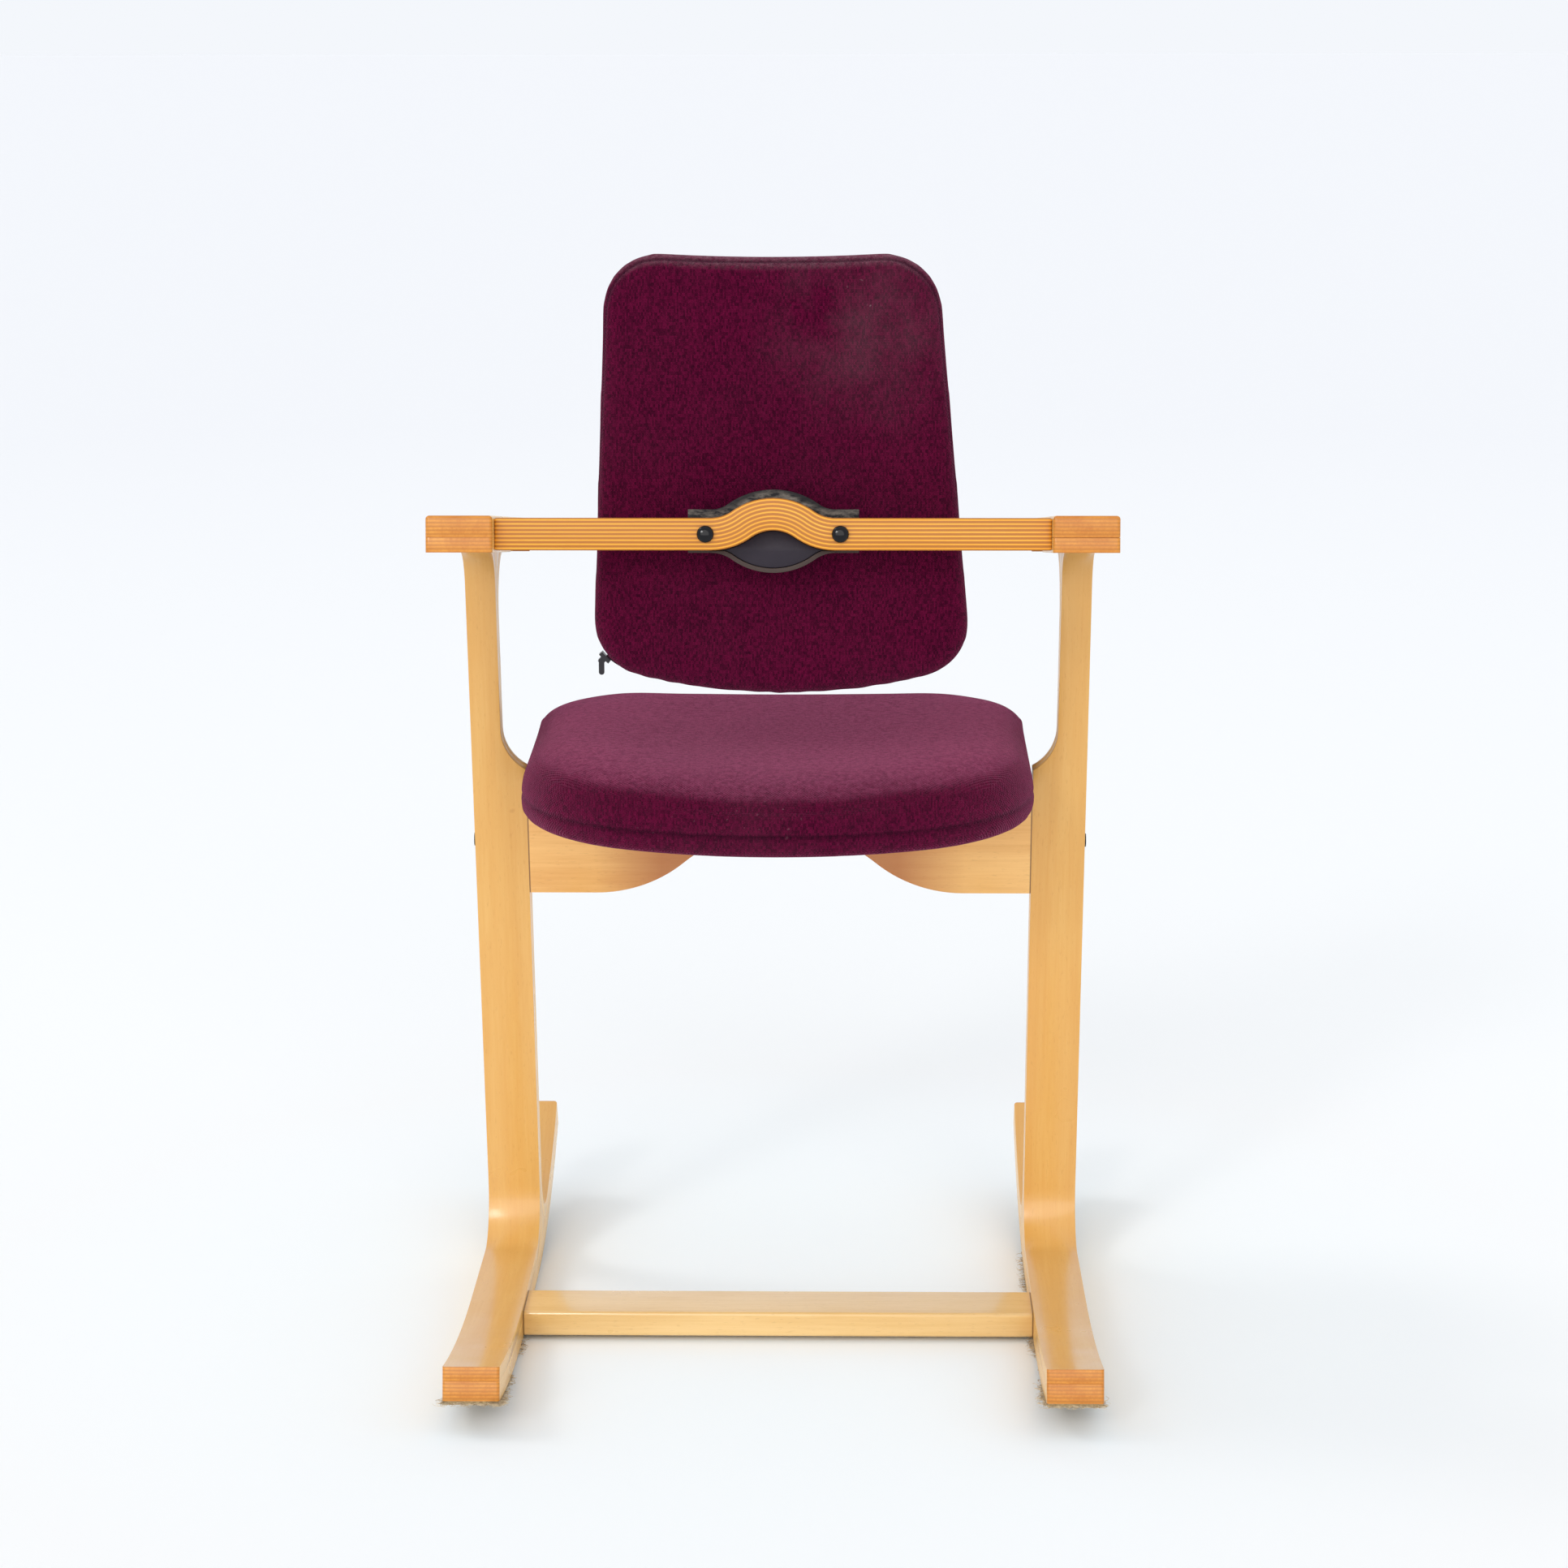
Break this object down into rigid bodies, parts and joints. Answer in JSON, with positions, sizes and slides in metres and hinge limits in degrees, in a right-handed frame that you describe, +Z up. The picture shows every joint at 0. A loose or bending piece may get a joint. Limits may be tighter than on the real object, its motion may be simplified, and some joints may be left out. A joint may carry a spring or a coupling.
{
  "type": "rocking work chair",
  "caption": "Active-sitting chair with laminated beech side frames on curved runners, armrests, a padded seat and a padded back that tilts on a sprung pivot at a cross bar.",
  "frame": {"origin": "bottom centre of the bounding box, on the floor", "axes": "+Z up, +Y the way the sitter faces, +X to the sitter's right"},
  "size_m": [0.553, 0.636, 0.949],
  "materials": {
    "beech_laminate": "satin lacquer",
    "beech_solid": "satin lacquer",
    "dowel_wood": "plain",
    "plywood": "plain",
    "wool_upholstery": "woven wool",
    "felt": "frayed felt",
    "black_plastic": "matt",
    "plate_plastic": "matt",
    "black_steel": "black",
    "zinc_steel": "zinc plated",
    "bush_rubber": "matt",
    "zip_textile": "woven tape",
    "zip_metal": "black"
  },
  "bodies": {
    "frame": {"left_rear_lamination": "beech_laminate", "right_rear_lamination": "beech_laminate", "left_front_lamination": "beech_laminate", "right_front_lamination": "beech_laminate", "left_armrest_cap": "beech_laminate", "right_armrest_cap": "beech_laminate", "left_runner_sole": "beech_laminate", "right_runner_sole": "beech_laminate", "left_wedges": "beech_laminate", "right_wedges": "beech_laminate", "back_bar": "beech_laminate", "seat_cross_board": "beech_solid", "floor_stretcher": "beech_solid", "seat_cleats": "beech_solid", "seat_board_dowels": "dowel_wood", "stretcher_dowels": "dowel_wood", "cleat_dowels": "dowel_wood", "back_bar_dowels": "dowel_wood", "seat_shell": "plywood", "seat_cushion": "wool_upholstery", "left_floor_strip": "felt", "right_floor_strip": "felt", "pivot_housing": "black_plastic", "pivot_cover_plate": "plate_plastic", "bar_bolts": "black_steel", "seat_board_bolts": "black_steel", "bar_inserts": "zinc_steel", "seat_board_barrel_nuts": "zinc_steel", "pivot_axle": "zinc_steel", "axle_clips": "zinc_steel", "seat_screws": "zinc_steel"},
    "backrest": {"back_bracket": "black_steel", "pivot_bush": "bush_rubber", "bracket_screws": "zinc_steel", "back_shell": "plywood", "back_cushion": "wool_upholstery", "zip_tape": "zip_textile", "zip_slider": "zip_metal"},
    "zip_pull": {"zip_pull": "zip_metal"}
  },
  "joints": [
    {"name": "back_tilt", "type": "hinge", "parent": "frame", "child": "backrest", "pos_m": [0, -0.18769, 0.72427], "axis": [1, 0, 0], "range_deg": [-10, 14], "stiffness_Nm_per_rad": 120},
    {"name": "zip_pull_swing", "type": "hinge", "parent": "backrest", "child": "zip_pull", "pos_m": [-0.14308, -0.15629, 0.61452], "axis": [0, 1, 0], "range_deg": [-25, 70]}
  ]
}
